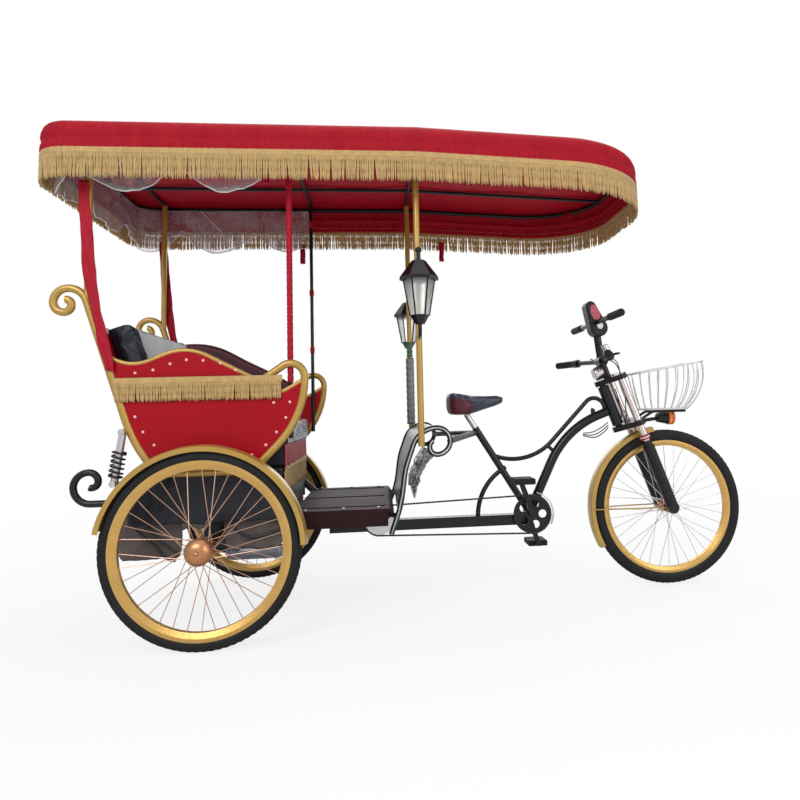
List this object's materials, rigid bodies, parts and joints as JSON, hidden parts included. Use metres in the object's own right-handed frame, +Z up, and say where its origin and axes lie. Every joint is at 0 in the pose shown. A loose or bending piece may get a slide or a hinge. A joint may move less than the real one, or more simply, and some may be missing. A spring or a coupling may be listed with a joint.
{
  "type": "surrey bike",
  "caption": "Three-wheel passenger cycle with a fringed canopy over a red carriage bench, side lanterns, a rider's saddle, pedals and a front basket.",
  "frame": {"origin": "middle of the bounding box's bottom face, on the floor", "axes": "+X forward along the vehicle, its longest way, +Y to the rider's left, +Z up"},
  "size_m": [2.7849, 1.166, 1.8329],
  "materials": {
    "tyre": "matte rubber",
    "wheel_metal": "polished, spokes and gold-toned rims",
    "black_paint": "gloss black paint",
    "gold_paint": "gold paint, semi gloss",
    "red_panel": "gloss red panel",
    "red_satin": "pleated satin",
    "gold_fringe": "gold braid and tassels",
    "black_vinyl": "upholstery vinyl",
    "maroon_vinyl": "upholstery vinyl",
    "floor_maroon": "dark floor covering",
    "black_plastic": "moulded plastic",
    "grip_rubber": "grips and pedals",
    "steel": "bright steel",
    "aluminium": "silver",
    "fork_silver": "silver stanchions",
    "wire_silver": "silver-coated wire",
    "lamp_glass": "tinted lantern glass",
    "orange_lens": "orange lens",
    "lamp_silver": "lamp housings",
    "clear_vinyl": "clear gathered film",
    "ribbon_red": "red ribbon"
  },
  "bodies": {
    "frame": {"rear_axle": "black_paint", "main_frame": "black_paint", "saddle": "maroon_vinyl", "seat_post": "steel", "chains": "steel", "jackshaft": "steel", "chain_guard": "steel", "carriage_rails": "gold_paint", "side_panels": "red_panel", "back_panel": "red_panel", "canopy_cover": "red_satin", "canopy_top": "red_satin", "canopy_bars": "black_paint", "canopy_fringe": "gold_fringe", "canopy_frame": "black_paint", "back_posts": "gold_paint", "front_posts": "black_paint", "chassis": "black_paint", "shock_bodies": "aluminium", "shock_coils": "black_paint", "dash_frame": "black_paint", "dash_panel": "black_paint", "lamp_posts": "gold_paint", "lantern_frames": "black_paint", "lantern_glass": "lamp_glass", "floor_board": "floor_maroon", "battery_case": "black_plastic", "seat_base": "black_vinyl", "seat_cushion": "black_vinyl", "backrest": "black_vinyl", "side_bolster": "maroon_vinyl", "seat_skirt": "red_satin", "carriage_fringes": "gold_fringe", "rear_fenders": "gold_paint", "rain_curtain": "clear_vinyl", "post_ribbons": "ribbon_red"},
    "rear_wheel_right": {"wheel_rear_right": "wheel_metal", "tyre_rear_right": "tyre", "half_shaft_right": "steel"},
    "rear_wheel_left": {"wheel_rear_left": "wheel_metal", "tyre_rear_left": "tyre", "half_shaft_left": "steel"},
    "steering": {"fork_crowns": "black_paint", "fork_stanchions": "fork_silver", "fork_legs": "black_paint", "front_fender": "gold_paint", "handlebars": "black_paint", "handlebar_grips": "grip_rubber", "brake_levers": "black_paint", "display_pod": "black_plastic", "steering_lamps": "lamp_silver", "basket": "wire_silver", "basket_arms": "black_paint", "front_lamp": "black_plastic", "front_lens": "orange_lens"},
    "front_wheel": {"wheel_front": "wheel_metal", "tyre_front": "tyre"},
    "crankset": {"crankset": "steel"},
    "pedal_right": {"pedal_right": "grip_rubber"},
    "pedal_left": {"pedal_left": "grip_rubber"}
  },
  "joints": [
    {"name": "rear_wheel_right_spin", "type": "hinge", "parent": "frame", "child": "rear_wheel_right", "pos_m": [-0.8145, -0.504, 0.336], "axis": [0, 1, 0], "continuous": true},
    {"name": "rear_wheel_left_spin", "type": "hinge", "parent": "frame", "child": "rear_wheel_left", "pos_m": [-0.8145, 0.504, 0.336], "axis": [0, 1, 0], "continuous": true},
    {"name": "steering_turn", "type": "hinge", "parent": "frame", "child": "steering", "pos_m": [0.81752, 0, 0.79494], "axis": [-0.342, 0, 0.9397], "range_deg": [-40, 40]},
    {"name": "front_wheel_spin", "type": "hinge", "parent": "steering", "child": "front_wheel", "pos_m": [1.0565, 0, 0.336], "axis": [0, 1, 0], "continuous": true},
    {"name": "crank_spin", "type": "hinge", "parent": "frame", "child": "crankset", "pos_m": [0.4355, 0, 0.333], "axis": [0, 1, 0], "continuous": true},
    {"name": "pedal_right_spin", "type": "hinge", "parent": "crankset", "child": "pedal_right", "pos_m": [0.38341, -0.131, 0.48428], "axis": [0, 1, 0], "continuous": true},
    {"name": "pedal_left_spin", "type": "hinge", "parent": "crankset", "child": "pedal_left", "pos_m": [0.48759, 0.131, 0.18172], "axis": [0, 1, 0], "continuous": true}
  ]
}
